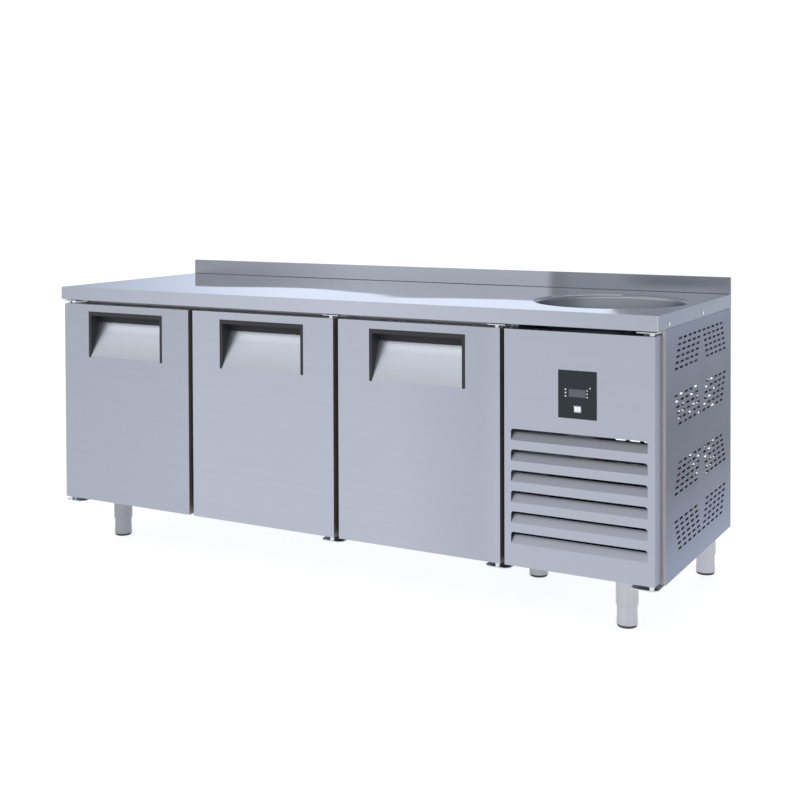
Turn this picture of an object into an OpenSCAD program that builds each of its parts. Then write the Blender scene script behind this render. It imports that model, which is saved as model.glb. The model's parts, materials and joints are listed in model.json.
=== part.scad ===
// Three-door refrigerated counter with a round sink set in its worktop.
// Millimetres. X runs to the right, Y to the back and Z up from the floor.
// The origin is on the floor, under the middle of the counter.

/* [Overall] */
// Width across the worktop
width = 1990; // [1840:5:2390]
// Depth from the worktop's front edge to the back of its upstand
depth = 700; // [670:5:840]
// Height of the worktop's surface above the floor
height = 830; // [820:5:996]
// Height of the cabinet's underside above the floor
leg_h = 139; // [118:1:150]

/* [Worktop] */
// Height of the turned-down edge
edge_h = 40; // [36:1:48]
// Width of the lip turned in under the edge
edge_return = 12; // [8:1:15]
// Thickness of the worktop sheet
top_t = 1.5; // [1:0.5:2]
// Height of the upstand above the surface
upstand_h = 50; // [40:1:100]
// Thickness of the folded upstand
upstand_t = 12; // [10:1:20]
// Width of a stiffening rail
rail_w = 50; // [40:1:60]

/* [Sink] */
// Diameter of the hole in the worktop
sink_d = 430; // [360:5:440]
// Depth of the bowl
sink_h = 160; // [120:5:180]
// Distance of the bowl's centre from the right end
sink_from_right = 238; // [232:1:245]
// Distance of the bowl's centre from the front edge
sink_from_front = 320; // [300:5:340]
// Thickness of the bowl
bowl_t = 1; // [0.8:0.1:1.5]
// Radius of the rolled rim
rim_r = 9; // [6:1:12]
// How much the wall draws in towards the bottom
bowl_taper = 14; // [5:1:25]
// Radius between the wall and the bottom
bowl_corner = 45; // [20:5:60]
// Outside diameter of the threaded waste tail
waste_d = 47.8; // [42:0.1:48]
// Length of the waste tail below the bowl
waste_len = 72; // [50:1:90]

/* [Cabinet] */
// Thickness of the outer sheets
sheet = 1.2; // [1:0.1:1.5]
// Thickness of the inner liner
liner_t = 1; // [0.8:0.1:1.5]
// Thickness of the left wall
wall_t = 58; // [50:1:65]
// Thickness of the rear wall
rear_t = 60; // [50:1:70]
// Thickness of the floor
floor_t = 50; // [45:1:60]
// Thickness of the ceiling
ceiling_t = 45; // [40:1:55]
// Thickness of the wall between the cold space and the machine
partition_t = 58; // [50:1:65]
// Distance of the cabinet's back from the back of the upstand
back_gap = 4; // [3:1:8]
// Depth of the posts between the doors
post_depth = 48; // [40:1:60]

/* [Doors] */
// Thickness of a door
door_t = 50; // [45:1:60]
// Gap between two doors
door_gap = 17; // [14:1:20]
// Distance of the first door from the left end
left_margin = 12; // [10:1:16]
// Distance of the service door from the right end
right_margin = 8; // [6:1:12]
// Width of the service door
service_w = 411; // [400:1:430]
// Gap between the last door and the service door
service_gap = 13; // [12:1:16]
// Gap between the worktop's edge and the doors
door_top_gap = 13; // [11:1:16]
// Gap between the cabinet's underside and the doors' lower edge
door_bottom_gap = 11; // [8:1:14]
// Distance of the doors' faces behind the worktop's front edge
door_setback = 2; // [2:1:8]
// Space between the doors' backs and the cabinet for the gasket
gasket_gap = 10; // [8:1:12]
// Width of the magnetic gasket
gasket_w = 18; // [14:1:20]
// Distance of the gasket from the door's edge
gasket_inset = 10; // [10:1:12]
// Overlap of a door on each side of its opening
door_lap = 30; // [30:1:34]
// Thickness of the door sheets
door_sheet = 1; // [0.8:0.1:1.2]

/* [Hinges] */
// Distance of a hinge pin from the door's edge and face
pin_inset = 12; // [11:1:14]
// Diameter of a hinge pin
pin_d = 8; // [6:0.5:9]
// Radial clearance of a pin in its sleeve
pin_clearance = 0.05; // [0.02:0.01:0.08]
// Length of a hinge sleeve
sleeve_h = 22; // [16:1:30]
// Thickness of the hinge brackets
bracket_t = 3; // [2:0.5:4]
// Width of a lower hinge bracket
bracket_w = 72; // [60:1:80]

/* [Handles] */
// Width of the recessed handle
handle_w = 300; // [240:5:320]
// Height of the recessed handle
handle_h = 143; // [120:1:160]
// Distance of the handle from the door's upper edge
handle_drop = 22; // [16:1:40]
// Depth of the finger space
handle_depth = 40; // [30:1:42]
// Width of the insert's flush border
handle_border = 10; // [8:1:14]
// Height of the lip that the fingers pull
lip_h = 13; // [10:1:18]
// Height of the opening above the pull plate
grip_gap = 37; // [32:1:45]

/* [Louvres] */
// Number of louvres
louvre_count = 6; // [4:1:7]
// Distance between louvres
louvre_pitch = 54.7; // [50:0.1:58]
// Width of a louvre
louvre_w = 373; // [330:1:375]
// Height of a louvre's opening
louvre_h = 30.5; // [24:0.5:34]
// Depth of a louvre's blade
louvre_depth = 13; // [8:1:18]
// Distance of the lowest louvre from the door's lower edge
louvre_bottom = 60; // [50:1:70]

/* [Side vents] */
// Length of a slot
slot_l = 29; // [20:1:34]
// Height of a slot
slot_h = 6; // [4:0.5:8]
// Distance between slots in a row
slot_pitch = 44.3; // [40:0.1:46]
// Distance between rows
row_pitch = 15.3; // [12:0.1:16]
// Sideways step from one row to the next
row_shift = 7; // [4:0.5:8]
// Drop of each group's top row below the cabinet's top
group_drop = [35, 181, 360, 509];

/* [Controls] */
// Width of the control plate
plate_w = 105; // [95:1:120]
// Height of the control plate
plate_h = 124; // [115:1:140]
// Drop of the plate below the service door's upper edge
plate_drop = 98; // [70:1:110]
// Width of the display window
display_w = 47; // [40:1:55]
// Height of the display window
display_h = 20; // [16:1:24]
// Diameter of a key
key_d = 4.4; // [3.5:0.1:5]
// Distance between keys
key_pitch = 8.6; // [7:0.1:9]
// Width of the rocker switch
rocker_w = 22; // [18:1:24]
// Height of the rocker switch
rocker_h = 20; // [16:1:22]

/* [Cold side] */
// Width of the evaporator's housing
evap_w = 108; // [95:1:120]
// Height of the evaporator's housing
evap_h = 430; // [400:5:450]
// Height of the shelves above the inner floor
shelf_z = 262; // [200:1:320]
// Spacing of the shelf wires
wire_pitch = 34; // [28:1:50]
// Diameter of the evaporator's fan
evap_fan_d = 150; // [130:1:160]

/* [Machine] */
// Diameter of the compressor's shell
compressor_d = 150; // [130:1:160]
// Height of the compressor's shell
compressor_h = 176; // [150:1:190]
// Width of the condenser
condenser_w = 270; // [250:1:290]
// Height of the condenser
condenser_h = 250; // [240:1:270]
// Thickness of the condenser
condenser_t = 58; // [50:1:66]
// Diameter of the condenser's fan
condenser_fan_d = 200; // [180:1:210]
// Diameter of a fan motor's shaft
shaft_d = 6; // [5:0.5:8]
// Radial clearance of a fan on its shaft
shaft_clearance = 0.05; // [0.02:0.01:0.08]

/* [Feet] */
// Diameter of a foot's upper tube
foot_d = 60; // [52:1:62]
// Diameter of a foot's lower tube
foot_tube_d = 54; // [44:1:54]
// Height of the lower tube that shows
foot_show = 54; // [44:1:60]
// Thickness of the rubber pad
pad_t = 7; // [5:1:10]
// Radial clearance between the tubes
foot_clearance = 0.3; // [0.3:0.1:0.5]

/* [Hidden] */
$fn = 48;

steel = "#a9b0bd";
black = "#33363b";
seat = 0.3;  // gap between pieces that rest on each other across a joint
join = 0.5;  // overlap that fuses the shapes of one piece

// heights
body_z = leg_h;
edge_z = height - edge_h;
under_top = height - top_t;
body_h = edge_z - body_z;
door_z = body_z + door_bottom_gap;
door_h = edge_z - door_top_gap - door_z;
cold_z0 = body_z + floor_t;
cold_z1 = edge_z - ceiling_t;

// depths
body_y = door_setback + door_t + gasket_gap;
back_y = depth - back_gap;
foam_y = body_y + sheet;
cold_y1 = back_y - rear_t;

// widths
doors_span = width - left_margin - right_margin - service_w - service_gap;
door_w = (doors_span - 2 * door_gap) / 3;
door_x = [for (i = [0:2]) left_margin + i * (door_w + door_gap)];
service_x = door_x[2] + door_w + service_gap;
cold_x0 = wall_t;
cold_x1 = door_x[2] + door_w - door_lap;
partition_x = cold_x1 + partition_t;
open_x0 = [cold_x0 + liner_t, door_x[1] + door_lap, door_x[2] + door_lap];
open_x1 = [door_x[0] + door_w - door_lap, door_x[1] + door_w - door_lap, cold_x1 - liner_t];
open_z0 = cold_z0 + liner_t;
open_z1 = cold_z1 - liner_t;

// hinge pins: the first door hangs on its left edge, the others on their right
pin_r = pin_d / 2;
sleeve_r = pin_r + 3;
pin_y = door_setback + pin_inset;
pin_x = [
  door_x[0] + pin_inset,
  door_x[1] + door_w - pin_inset,
  door_x[2] + door_w - pin_inset,
  service_x + service_w - pin_inset
];

// sink
sink_x = width - sink_from_right;
sink_r = sink_d / 2;
bowl_r = sink_r - rim_r;
bowl_bottom_r = bowl_r - bowl_taper;
bowl_z = under_top - sink_h;
waste_r = waste_d / 2;
waste_hole_r = waste_r + 4;

// feet, as distances from the left end and the front edge
foot_at = [
  [112, 160],
  [width - 121, 120],
  [112, depth - 55],
  [width - 65, depth - 40],
  [partition_x - 88, depth / 2 + 55]
];
foot_plate = 76;

// handle, measured from the door's lower left corner
handle_x = (door_w - handle_w) / 2;
handle_z1 = door_h - handle_drop;
handle_z0 = handle_z1 - handle_h;
pull_z1 = handle_z1 - grip_gap;
insert_t = 2;
tip_r = handle_border / 2;

// evaporator housing
evap_x0 = cold_x1 - liner_t - evap_w;
evap_x1 = cold_x1 - liner_t;
evap_y0 = body_y + 62;
evap_y1 = cold_y1 - 30;
evap_z0 = open_z0 + 52;
evap_z1 = evap_z0 + evap_h;
evap_fan_x = evap_x0 + 17;
evap_fan_y = (evap_y0 + evap_y1) / 2;
evap_fan_z = evap_z1 - evap_fan_d / 2 - 40;

// machine compartment
base_t = 2;
machine_x0 = partition_x;
machine_x1 = width - sheet;
floor_z = body_z + base_t;
cond_x = (machine_x0 + machine_x1 - condenser_w) / 2;
cond_y = body_y + 50;
cond_z = floor_z + 12;
cond_fan_x = cond_x + condenser_w / 2;
cond_fan_y = cond_y + condenser_t + 34;
cowl_y1 = cond_fan_y + 12;
cond_fan_z = cond_z + condenser_h / 2;
comp_x = machine_x1 - 140;
comp_y = back_y - 150;
comp_z = floor_z + 18;

// ---------- helpers ----------

// Places shapes that are measured from the left end and the front edge.
module placed() {
  translate([-width / 2, -depth / 2, 0]) children();
}

// A block between two opposite corners.
module block(a, b) {
  translate(a) cube(b - a);
}

// A round bar between two points.
module bar(a, b, r) {
  d = b - a;
  h = norm(d);
  turn = atan2(d[1], d[0]);
  tilt = acos(d[2] / h);
  translate(a) rotate([0, tilt, turn]) cylinder(r = r, h = h);
}

// A bent pipe along a list of points.
module pipe(points, r) {
  for (i = [0:len(points) - 2]) bar(points[i], points[i + 1], r);
  for (i = [1:len(points) - 2]) translate(points[i]) sphere(r = r);
}

// A flat slot with round ends, centred on the origin.
module slot_2d(l, h) {
  square([l - h, h], center = true);
  for (s = [-1, 1]) translate([s * (l - h) / 2, 0]) circle(d = h, $fn = 24);
}

// Points of an arc.
function arc(cx, cy, r, a0, a1, n) =
  [for (i = [0:n]) [cx + r * cos(a0 + (a1 - a0) * i / n), cy + r * sin(a0 + (a1 - a0) * i / n)]];

// Places a shape drawn in X and Z onto a sheet that faces the front.
module upright(y, t) {
  translate([0, y + t, 0]) rotate([90, 0, 0]) linear_extrude(t) children();
}

// Runs a shape drawn in Y and Z along X.
module along_x(x, l) {
  translate([x, 0, 0]) rotate([90, 0, 90]) linear_extrude(l) children();
}

// ---------- worktop ----------

side_screw_y = [90, 397];
screw_r = 2.1;
screw_z = height - edge_h * 0.7;

module worktop() {
  color(steel) placed() difference() {
    union() {
      block([0, 0, edge_z], [width, depth, height]);
      block([0, depth - upstand_t, height - join], [width, depth, height + upstand_h]);
    }
    block([top_t, top_t, edge_z + top_t], [width - top_t, depth - top_t, under_top]);
    block([edge_return, edge_return, edge_z - join],
          [width - edge_return, depth - top_t, edge_z + top_t + join]);
    block([top_t, depth - upstand_t + top_t, under_top - join],
          [width - top_t, depth - top_t, height + upstand_h - top_t]);
    translate([sink_x, sink_from_front, under_top - join]) cylinder(r = sink_r, h = top_t + 2 * join);
    for (y = side_screw_y) bar([-join, y, screw_z], [width + join, y, screw_z], screw_r + 0.2);
  }
}

// One hat-shaped rail that opens downwards.
module rail(x0, x1, y0) {
  h = under_top - edge_z;
  foot = 12;
  along_x(x0, x1 - x0) difference() {
    union() {
      translate([y0, edge_z]) square([rail_w, h]);
      translate([y0 - foot, edge_z]) square([rail_w + 2 * foot, sheet]);
    }
    translate([y0 + sheet, edge_z - join]) square([rail_w - 2 * sheet, h - sheet + join]);
  }
}

module worktop_stiffeners() {
  rail_inset = edge_return + 3;
  clear_of_sink = sink_x - sink_r - 30;
  color("#8b929e") placed() {
    rail(rail_inset, width - rail_inset, 28);
    rail(rail_inset, clear_of_sink, sink_from_front - rail_w / 2);
    rail(rail_inset, width - rail_inset, depth - upstand_t - 14 - rail_w);
  }
}

module sink_bowl() {
  flange = 12;
  steps = 8;
  inner = concat(
    [[sink_r + flange, under_top]],
    arc(sink_r, under_top - rim_r, rim_r, 90, 180, steps),
    arc(bowl_bottom_r - bowl_corner, bowl_z + bowl_corner, bowl_corner, 0, -90, steps),
    [[waste_hole_r, bowl_z]]
  );
  outer = concat(
    [[waste_hole_r, bowl_z - bowl_t]],
    arc(bowl_bottom_r - bowl_corner, bowl_z + bowl_corner, bowl_corner + bowl_t, -90, 0, steps),
    arc(sink_r, under_top - rim_r, rim_r - bowl_t, 180, 90, steps),
    [[sink_r + flange, under_top - bowl_t]]
  );
  color(steel) placed() translate([sink_x, sink_from_front, 0])
    rotate_extrude($fn = 96) polygon(concat(inner, outer));
}

module sink_waste() {
  rim = waste_hole_r + 14;
  disc_t = 2.5;
  nut_t = 12;
  gasket_t = 2;
  collar_r = waste_r + 0.4;
  collar_h = nut_t + gasket_t + 3;
  ring_r = collar_r + 0.2;
  bore_r = waste_r - 3;
  hole_r = 4;
  hole_h = disc_t + 3 * join;
  below = bowl_z - bowl_t;
  tail_z = below - waste_len;
  color("#c2c6cc") placed() translate([sink_x, sink_from_front, 0]) {
    difference() {
      union() {
        translate([0, 0, bowl_z]) cylinder(r = rim, h = disc_t);
        translate([0, 0, below - collar_h]) cylinder(r = collar_r, h = collar_h + bowl_t + join);
        translate([0, 0, tail_z]) cylinder(r = waste_r, h = waste_len - collar_h + join);
      }
      translate([0, 0, tail_z - join]) cylinder(r = bore_r, h = waste_len + bowl_t);
      translate([0, 0, bowl_z - 2 * join]) {
        cylinder(r = hole_r, h = hole_h);
        for (a = [0:60:300]) rotate(a) translate([13, 0, 0]) cylinder(r = hole_r, h = hole_h);
      }
    }
    translate([0, 0, below - gasket_t]) difference() {
      cylinder(r = rim - 4, h = gasket_t);
      translate([0, 0, -join]) cylinder(r = ring_r, h = gasket_t + 2 * join);
    }
    translate([0, 0, below - gasket_t - nut_t - 0.1]) difference() {
      cylinder(r = rim - 2, h = nut_t, $fn = 6);
      translate([0, 0, -join]) cylinder(r = ring_r, h = nut_t + 2 * join);
    }
  }
}

// A pan-head screw with its head outwards along X or Y.
module screw(at, out, shank) {
  head_r = 5;
  head_t = 1.6;
  bar(at, at + out * head_t, head_r);
  bar(at - out * shank, at + out * join, screw_r);
}

rear_screw_z = [body_z + 18, body_z + body_h / 2, edge_z - 18];

module screws() {
  color("#d4d7db") placed() {
    for (y = side_screw_y) {
      screw([0, y, screw_z], [-1, 0, 0], 10);
      screw([width, y, screw_z], [1, 0, 0], 10);
    }
    for (z = rear_screw_z, x = rear_screw_x) screw([x, back_y, z], [0, 1, 0], sheet);
  }
}

// ---------- cabinet ----------

rear_screw_x = [20, partition_x - 16, partition_x + 16, width - 20];

module left_panel() {
  color(steel) placed() block([0, body_y, body_z], [sheet, back_y - sheet, edge_z]);
}

module rear_panel() {
  color("#9097a3") placed() difference() {
    block([0, back_y - sheet, body_z], [partition_x, back_y, edge_z]);
    for (z = rear_screw_z, i = [0, 1]) {
      bar([rear_screw_x[i], back_y - 3, z], [rear_screw_x[i], back_y + 1, z], screw_r + 0.2);
    }
  }
}

module top_bottom_panels() {
  x0 = sheet;
  x1 = partition_x - sheet;
  color("#9097a3") placed() {
    difference() {
      block([x0, foam_y, edge_z - sheet], [x1, back_y - sheet, edge_z]);
      bowl_recess();
    }
    block([x0, foam_y, body_z], [x1, back_y - sheet, body_z + sheet]);
  }
}

// Room for the bowl where it reaches over the partition.
module bowl_recess() {
  clearance = 3;
  translate([sink_x, sink_from_front, bowl_z - bowl_t - clearance])
    cylinder(r = bowl_r + bowl_t + clearance, h = height - bowl_z);
}

// The staggered rows of slots, in Y and Z.
module side_slots_2d() {
  mid = (body_y + back_y) / 2 + 9;
  rows = 6;
  for (g = [0:3], r = [0:rows - 1], k = [0:4], s = [-1, 1]) {
    from_joined = g % 2 == 0 ? r : rows - 1 - r;
    y = mid + s * ((k + 0.5) * slot_pitch + from_joined * row_shift);
    translate([y, edge_z - group_drop[g] - r * row_pitch]) slot_2d(slot_l, slot_h);
  }
}

module right_panel() {
  flange = 20;
  color("#8a909d") placed() {
    along_x(width - sheet, sheet) difference() {
      translate([body_y, body_z]) square([back_y - body_y, body_h]);
      side_slots_2d();
    }
    block([width - flange, body_y, body_z], [width - sheet + join, foam_y, edge_z]);
    block([width - flange, foam_y - join, edge_z - sheet], [width - sheet + join, back_y - 8, edge_z]);
  }
}

module partition_panel() {
  color("#9097a3") placed() difference() {
    block([partition_x - sheet, foam_y, body_z], [partition_x, back_y - sheet, edge_z]);
    pipe_passages();
    bowl_recess();
  }
}

// The front face of the cabinet, with one opening behind each door.
module front_frame() {
  color(steel) placed() difference() {
    block([sheet, body_y, body_z], [partition_x, foam_y, edge_z]);
    for (i = [0:2]) {
      block([open_x0[i], body_y - 1, open_z0], [open_x1[i], foam_y + 1, open_z1]);
    }
  }
}

// Rigid foam boards, with room for the liner inside and the sheets outside.
module insulation() {
  x0 = sheet;
  x1 = partition_x - sheet;
  y1 = back_y - sheet;
  gap = 0.2;
  color("#d9c98f") placed() {
    block([x0, foam_y, body_z + sheet], [x1, y1, cold_z0]);
    difference() {
      block([x0, foam_y, cold_z1], [x1, y1, edge_z - sheet]);
      bowl_recess();
    }
    block([x0, foam_y, cold_z0 + gap], [cold_x0, y1, cold_z1 - gap]);
    block([cold_x0 + gap, cold_y1, cold_z0 + gap], [cold_x1 - gap, y1, cold_z1 - gap]);
    difference() {
      block([cold_x1, foam_y, cold_z0 + gap], [x1, y1, cold_z1 - gap]);
      pipe_passages();
      bowl_recess();
    }
  }
}

module liner() {
  color("#b4b9c2") placed() difference() {
    block([cold_x0, foam_y, cold_z0], [cold_x1, cold_y1, cold_z1]);
    block([open_x0[0], foam_y - 1, open_z0], [open_x1[2], cold_y1 - liner_t, open_z1]);
    pipe_passages();
  }
}

// Holes through the partition for the pipes and the drain.
module pipe_passages() {
  for (p = [suction_at, liquid_at]) {
    bar([cold_x1 - 3, p[0], p[1]], [partition_x + 3, p[0], p[1]], pipe_r + 0.3);
  }
  bar([cold_x1 - 3, drain_y, drain_z], [partition_x + 3, drain_y, drain_z], drain_r + 0.3);
}

// Hollow posts between the door openings.
module mullions() {
  wall = 1.5;
  color("#9ba1ad") placed() for (i = [0, 1]) difference() {
    block([open_x1[i], foam_y, open_z0], [open_x0[i + 1], foam_y + post_depth, open_z1]);
    block([open_x1[i] + wall, foam_y + wall, open_z0 - 1],
          [open_x0[i + 1] - wall, foam_y + post_depth - wall, open_z1 + 1]);
  }
}

// ---------- shelves ----------

ladder_t = 14;
ladder_y = [foam_y + post_depth + 14, cold_y1 - 32];
shelf_x0 = [open_x0[0] + 4, open_x0[1] + 4, open_x0[2] + 4];
shelf_x1 = [open_x1[0] - 4, open_x1[1] - 4, evap_x0 - 6];
shelf_top = open_z0 + shelf_z;

// Two uprights joined by the runner that carries one side of a shelf.
module ladder(x, side) {
  runner_t = 1.5;
  runner_w = 16;
  rack_top = shelf_top + 130;
  x1 = x + side * runner_w;
  for (y = ladder_y) {
    block([min(x, x + side * runner_t * 2), y, open_z0],
          [max(x, x + side * runner_t * 2), y + ladder_t, rack_top]);
  }
  block([min(x, x1), ladder_y[0] - 6, shelf_top - 8 - runner_t],
        [max(x, x1), ladder_y[1] + ladder_t + 6, shelf_top - 8]);
}

module shelf_ladders() {
  color("#aeb4bf") placed() for (i = [0:2]) {
    ladder(shelf_x0[i], 1);
    ladder(shelf_x1[i], -1);
  }
}

module wire_shelf(x0, x1) {
  frame_r = 3;
  wire_r = 1.5;
  y0 = ladder_y[0] - 4;
  y1 = ladder_y[1] + ladder_t + 4;
  z = shelf_top - 8 + frame_r + 0.1;
  xa = x0 + 4 + frame_r;
  xb = x1 - 4 - frame_r;
  count = floor((xb - xa) / wire_pitch);
  step = (xb - xa) / count;
  pipe([[xa, y0, z], [xb, y0, z], [xb, y1, z], [xa, y1, z], [xa, y0, z], [xb, y0, z]], frame_r);
  for (y = [y0 + (y1 - y0) / 3, y0 + 2 * (y1 - y0) / 3]) bar([xa, y, z], [xb, y, z], frame_r);
  for (k = [1:count - 1]) {
    bar([xa + k * step, y0, z + frame_r], [xa + k * step, y1, z + frame_r], wire_r);
  }
}

module wire_shelves() {
  color("#e2e4e8") placed() for (i = [0:2]) wire_shelf(shelf_x0[i], shelf_x1[i]);
}

// ---------- cold side ----------

coil_x = evap_x0 + 62;
coil_t = 36;
coil_y = [evap_y0 + 16, evap_y1 - 16];
coil_z = [evap_z0 + 26, evap_z1 - 14];
pipe_r = 5;
suction_at = [evap_y1 - 34, evap_z0 + 60];
liquid_at = [evap_y1 - 58, evap_z0 + 60];
drain_r = 8;
drain_y = evap_y0 + 60;
drain_z = evap_z0 - 16;
tray_y = cowl_y1 + 16;
tray_h = 40;

module evaporator_coil() {
  fins = 20;
  fin_t = 1.2;
  tube_r = 5;
  rows = 5;
  step = (coil_y[1] - coil_y[0] - fin_t) / (fins - 1);
  color("#b9bec7") placed() {
    for (k = [0:fins - 1]) {
      block([coil_x, coil_y[0] + k * step, coil_z[0]],
            [coil_x + coil_t, coil_y[0] + k * step + fin_t, coil_z[1]]);
    }
    for (r = [0:rows - 1]) {
      z = coil_z[0] + (r + 0.5) * (coil_z[1] - coil_z[0]) / rows;
      bar([coil_x + coil_t / 2, coil_y[0] - 8, z], [coil_x + coil_t / 2, coil_y[1] + 8, z], tube_r);
    }
    for (z = [coil_z[0] + 10, coil_z[1] - 10]) {
      block([coil_x + coil_t - join, coil_y[0] + 20, z - 4], [evap_x1, coil_y[0] + 40, z + 4]);
      block([coil_x + coil_t - join, coil_y[1] - 40, z - 4], [evap_x1, coil_y[1] - 20, z + 4]);
    }
  }
}

module evaporator_cover() {
  t = 1.2;
  color("#c6cad2") placed() difference() {
    block([evap_x0, evap_y0, evap_z0], [evap_x1, evap_y1, evap_z1]);
    block([evap_x0 + t, evap_y0 + t, evap_z0 + t], [evap_x1 + 1, evap_y1 - t, evap_z1 - t]);
    bar([evap_x0 - 1, evap_fan_y, evap_fan_z], [evap_x0 + t + 1, evap_fan_y, evap_fan_z],
        evap_fan_d / 2 + 4);
    along_x(evap_x0 - 1, t + 2) for (k = [0:5], r = [0:4]) {
      translate([evap_fan_y + (k - 2.5) * 60, evap_z0 + 40 + r * 18]) slot_2d(46, 7);
    }
    translate([evap_x0 + evap_w / 2, drain_y, evap_z0 - 1]) cylinder(r = drain_r + 6, h = t + 2);
  }
}

// The tray under the coil and the tray that the drain empties into.
module condensate_trays() {
  t = 1.2;
  lower = [machine_x0 + 12, tray_y, floor_z];
  color("#cfd3da") placed() {
    difference() {
      block([coil_x - 24, coil_y[0] - 12, evap_z0 + 1.2], [evap_x1 - 1, coil_y[1] + 12, evap_z0 + 18]);
      block([coil_x - 24 + t, coil_y[0] - 12 + t, evap_z0 + 1.2 + t],
            [evap_x1 - 1 - t, coil_y[1] + 12 - t, evap_z0 + 19]);
      translate([evap_x0 + evap_w / 2, drain_y, evap_z0]) cylinder(r = drain_r + 0.3, h = 6);
    }
    difference() {
      block(lower, lower + [150, 220, tray_h]);
      block(lower + [t, t, t], lower + [150 - t, 220 - t, tray_h + 1]);
    }
  }
}

// From the coil's tray down, through the partition and down into the lower tray.
module drain_pipe() {
  x0 = evap_x0 + evap_w / 2;
  x1 = machine_x0 + 40;
  wall = 1.5;
  y1 = tray_y + 60;
  route = [
    [x0, drain_y, evap_z0 + 2.4], [x0, drain_y, drain_z], [x1, drain_y, drain_z],
    [x1, y1, drain_z], [x1, y1, floor_z + tray_h - 12]
  ];
  last = len(route) - 1;
  ends = [for (i = [0:last]) route[i] + [0, 0, i == 0 ? 1 : i == last ? -1 : 0]];
  color("#e9ebee") placed() difference() {
    pipe(route, drain_r);
    pipe(ends, drain_r - wall);
  }
}

// A fan with tilted flat blades, turning about the X axis.
module fan_rotor(d, blades, depth_x) {
  hub_r = d * 0.17;
  bore_r = shaft_d / 2 + shaft_clearance;
  rotate([0, 90, 0]) difference() {
    union() {
      cylinder(r = hub_r, h = depth_x, center = true);
      intersection() {
        cylinder(r = d / 2, h = depth_x, center = true);
        for (k = [0:blades - 1]) rotate(k * 360 / blades) translate([hub_r - 2, 0, 0])
          rotate([32, 0, 0]) translate([0, -d * 0.17, -1]) cube([d / 2, d * 0.34, 2]);
      }
    }
    cylinder(r = bore_r, h = depth_x + 2, center = true);
  }
}

module evaporator_fan() {
  color("#2f3237") placed() translate([evap_fan_x, evap_fan_y, evap_fan_z])
    fan_rotor(evap_fan_d, 5, 22);
}

module condenser_fan() {
  color("#2f3237") placed() translate([cond_fan_x, cond_fan_y, cond_fan_z])
    rotate(90) fan_rotor(condenser_fan_d, 5, 30);
}

// Both motors, each on a bracket across its fan's opening.
module fan_motors() {
  shaft_r = shaft_d / 2;
  color("#4a4d52") placed() {
    bar([evap_fan_x - 9, evap_fan_y, evap_fan_z], [evap_fan_x + 16, evap_fan_y, evap_fan_z], shaft_r);
    bar([evap_fan_x + 14, evap_fan_y, evap_fan_z], [evap_fan_x + 34, evap_fan_y, evap_fan_z], 22);
    for (s = [-1, 1]) {
      block([evap_fan_x + 18, evap_fan_y + s * 58 - 42, evap_fan_z - 6],
            [evap_fan_x + 21, evap_fan_y + s * 58 + 42, evap_fan_z + 6]);
      block([evap_x0 + 1.2, evap_fan_y + s * 98 - 6, evap_fan_z - 6],
            [evap_fan_x + 21, evap_fan_y + s * 98 + 6, evap_fan_z + 6]);
    }
    bar([cond_fan_x, cond_fan_y - 12, cond_fan_z], [cond_fan_x, cond_fan_y + 22, cond_fan_z], shaft_r);
    bar([cond_fan_x, cond_fan_y + 20, cond_fan_z], [cond_fan_x, cond_fan_y + 66, cond_fan_z], 32);
    for (s = [-1, 1]) {
      block([cond_fan_x + s * 74 - 46, cond_fan_y + 30, cond_fan_z - 10],
            [cond_fan_x + s * 74 + 46, cond_fan_y + 33, cond_fan_z + 10]);
      block([cond_fan_x + s * 118 - 2, cowl_y1, cond_fan_z - 10],
            [cond_fan_x + s * 118 + 2, cond_fan_y + 33, cond_fan_z + 10]);
    }
  }
}

// ---------- machine compartment ----------

module machine_base() {
  rim = 22;
  x0 = machine_x0;
  x1 = machine_x1;
  color("#9097a3") placed() difference() {
    block([x0, body_y, body_z], [x1 - 19, back_y - sheet, body_z + rim]);
    block([x0 + base_t, body_y + base_t, floor_z], [x1 - 19 - base_t, back_y - sheet - base_t, body_z + rim + 1]);
  }
  color("#9097a3") placed()
    block([x1 - 19 - join, foam_y + 0.2, body_z], [x1, back_y - sheet, floor_z]);
}

module compressor() {
  r = compressor_d / 2;
  dome = 38;
  plate = 3;
  color("#26282c") placed() translate([comp_x, comp_y, 0]) {
    translate([0, 0, comp_z]) difference() {
      block([-95, -72, 0], [95, 72, plate]);
      for (x = [-82, 82], y = [-58, 58]) translate([x, y, -1]) cylinder(r = 7.2, h = plate + 2);
    }
    translate([0, 0, comp_z + plate - join]) {
      cylinder(r = r, h = compressor_h - dome);
      intersection() {
        translate([0, 0, compressor_h - dome]) sphere(r = r);
        translate([0, 0, compressor_h - dome - 1]) cylinder(r = r, h = dome + 14);
      }
      block([-r - 26, -28, 40], [-r + 8, 28, 105]);
    }
    for (x = [-82, 82], y = [-58, 58]) translate([x, y, floor_z]) {
      cylinder(r = 11, h = comp_z - floor_z - 0.1);
      cylinder(r = 6.9, h = comp_z - floor_z + plate + 3);
    }
  }
}

cond_rows = 5;
cond_tube_z = [for (r = [0:cond_rows - 1]) cond_z + (r + 0.5) * condenser_h / cond_rows];
cond_tube_y = [cond_y + condenser_t * 0.27, cond_y + condenser_t * 0.73];

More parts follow.
